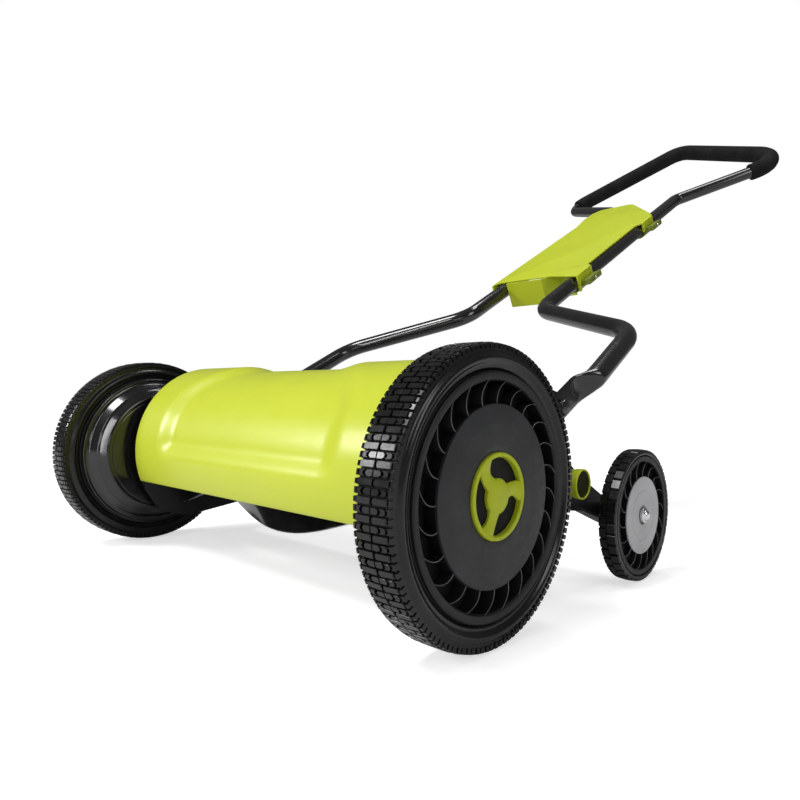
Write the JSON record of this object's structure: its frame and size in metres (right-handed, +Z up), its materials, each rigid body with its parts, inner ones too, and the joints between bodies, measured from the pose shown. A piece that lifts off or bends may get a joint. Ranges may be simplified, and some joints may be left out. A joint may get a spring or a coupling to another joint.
{
  "type": "reel mower",
  "caption": "Push reel lawn mower: geared front wheels drive a bladed reel under a sheet deck, with a rear wheel carriage and a tube handle with a foam grip.",
  "frame": {"origin": "on the ground under the middle of the mower's bounding box", "axes": "+Z up; the front of the mower (deck and reel) faces -Y and the handle rises towards +Y; +X is along the axles, on the side called right in the node names (as seen from in front)"},
  "size_m": [0.6416, 1.4176, 0.8747],
  "materials": {
    "lime_paint": "gloss",
    "lime_plastic": "satin",
    "olive_plastic": "satin",
    "black_paint": "gloss",
    "black_plastic": "satin",
    "hub_plastic": "satin",
    "grey_plastic": "satin",
    "tyre_rubber": "matte",
    "foam_rubber": "matte",
    "steel": "satin",
    "chrome": "polished"
  },
  "bodies": {
    "chassis": {"left_side_plate": "black_plastic", "right_side_plate": "black_plastic", "left_gear_cover": "black_plastic", "right_gear_cover": "black_plastic", "left_reel_bearing": "steel", "right_reel_bearing": "steel", "left_axle_bolt": "steel", "right_axle_bolt": "steel", "left_pivot_bolt": "steel", "right_pivot_bolt": "steel", "left_handle_bolt": "steel", "right_handle_bolt": "steel", "deck_cover": "lime_paint", "cutter_bar": "black_paint", "bed_knife": "steel", "left_knife_screw": "steel", "right_knife_screw": "steel", "tie_bar": "black_paint"},
    "right_wheel": {"right_tyre": "tyre_rubber", "right_wheel_rim": "hub_plastic", "right_hub_cap": "lime_plastic"},
    "left_wheel": {"left_tyre": "tyre_rubber", "left_wheel_rim": "hub_plastic", "left_hub_cap": "lime_plastic"},
    "reel": {"reel_shaft": "steel", "left_drive_key": "steel", "right_drive_key": "steel", "reel_blade_1": "black_paint", "reel_blade_2": "black_paint", "reel_blade_3": "black_paint", "reel_blade_4": "black_paint", "reel_blade_5": "black_paint", "reel_spider_left": "black_paint", "reel_spider_middle": "black_paint", "reel_spider_right": "black_paint"},
    "right_pinion": {"right_pinion": "steel"},
    "left_pinion": {"left_pinion": "steel"},
    "carriage": {"left_rear_arm": "black_plastic", "right_rear_arm": "black_plastic", "rear_axle": "steel", "left_rear_nut": "chrome", "right_rear_nut": "chrome"},
    "right_rear_wheel": {"right_rear_tyre": "tyre_rubber", "right_rear_rim": "grey_plastic"},
    "left_rear_wheel": {"left_rear_tyre": "tyre_rubber", "left_rear_rim": "grey_plastic"},
    "right_knob": {"right_height_knob": "lime_plastic"},
    "left_knob": {"left_height_knob": "lime_plastic"},
    "handle": {"left_lower_tube": "black_paint", "right_lower_tube": "black_paint", "upper_handle_tube": "black_paint", "foam_grip": "foam_rubber", "handle_panel": "lime_plastic"},
    "right_lower_clip": {"right_lower_clip": "olive_plastic"},
    "right_upper_clip": {"right_upper_clip": "olive_plastic"}
  },
  "joints": [
    {"name": "right_wheel_spin", "type": "hinge", "parent": "chassis", "child": "right_wheel", "pos_m": [0, -0.5818, 0.127], "axis": [1, 0, 0], "continuous": true},
    {"name": "left_wheel_spin", "type": "hinge", "parent": "chassis", "child": "left_wheel", "pos_m": [0, -0.5818, 0.127], "axis": [1, 0, 0], "continuous": true},
    {"name": "reel_spin", "type": "hinge", "parent": "chassis", "child": "reel", "pos_m": [0, -0.5168, 0.115], "axis": [1, 0, 0], "continuous": true},
    {"name": "right_pinion_spin", "type": "hinge", "parent": "chassis", "child": "right_pinion", "pos_m": [0, -0.5168, 0.115], "axis": [1, 0, 0], "continuous": true},
    {"name": "left_pinion_spin", "type": "hinge", "parent": "chassis", "child": "left_pinion", "pos_m": [0, -0.5168, 0.115], "axis": [1, 0, 0], "continuous": true},
    {"name": "cut_height", "type": "hinge", "parent": "chassis", "child": "carriage", "pos_m": [0, -0.4338, 0.108], "axis": [1, 0, 0], "range_deg": [-25, 15]},
    {"name": "right_rear_wheel_spin", "type": "hinge", "parent": "carriage", "child": "right_rear_wheel", "pos_m": [0, -0.2798, 0.0762], "axis": [1, 0, 0], "continuous": true},
    {"name": "left_rear_wheel_spin", "type": "hinge", "parent": "carriage", "child": "left_rear_wheel", "pos_m": [0, -0.2798, 0.0762], "axis": [1, 0, 0], "continuous": true},
    {"name": "right_knob_pull", "type": "slide", "parent": "carriage", "child": "right_knob", "axis": [1, 0, 0], "range_m": [0, 0.008], "stiffness_N_per_m": 300, "springref_m": -0.01},
    {"name": "left_knob_pull", "type": "slide", "parent": "carriage", "child": "left_knob", "axis": [-1, 0, 0], "range_m": [0, 0.008], "stiffness_N_per_m": 300, "springref_m": -0.01},
    {"name": "handle_fold", "type": "hinge", "parent": "chassis", "child": "handle", "pos_m": [0, -0.3918, 0.2], "axis": [1, 0, 0], "range_deg": [-8, 50]},
    {"name": "right_lower_clip_swing", "type": "hinge", "parent": "handle", "child": "right_lower_clip", "pos_m": [0.0932, 0.00713, 0.42082], "axis": [0, -0.8752, -0.4837], "range_deg": [0, 70]},
    {"name": "right_upper_clip_swing", "type": "hinge", "parent": "handle", "child": "right_upper_clip", "pos_m": [0.0932, 0.26619, 0.56401], "axis": [0, -0.8752, -0.4837], "range_deg": [0, 70]}
  ],
  "couplings": [
    {"joint": "reel_spin", "follows": "right_wheel_spin", "ratio": 4.8},
    {"joint": "right_pinion_spin", "follows": "right_wheel_spin", "ratio": 4.8},
    {"joint": "left_pinion_spin", "follows": "left_wheel_spin", "ratio": 4.8}
  ]
}
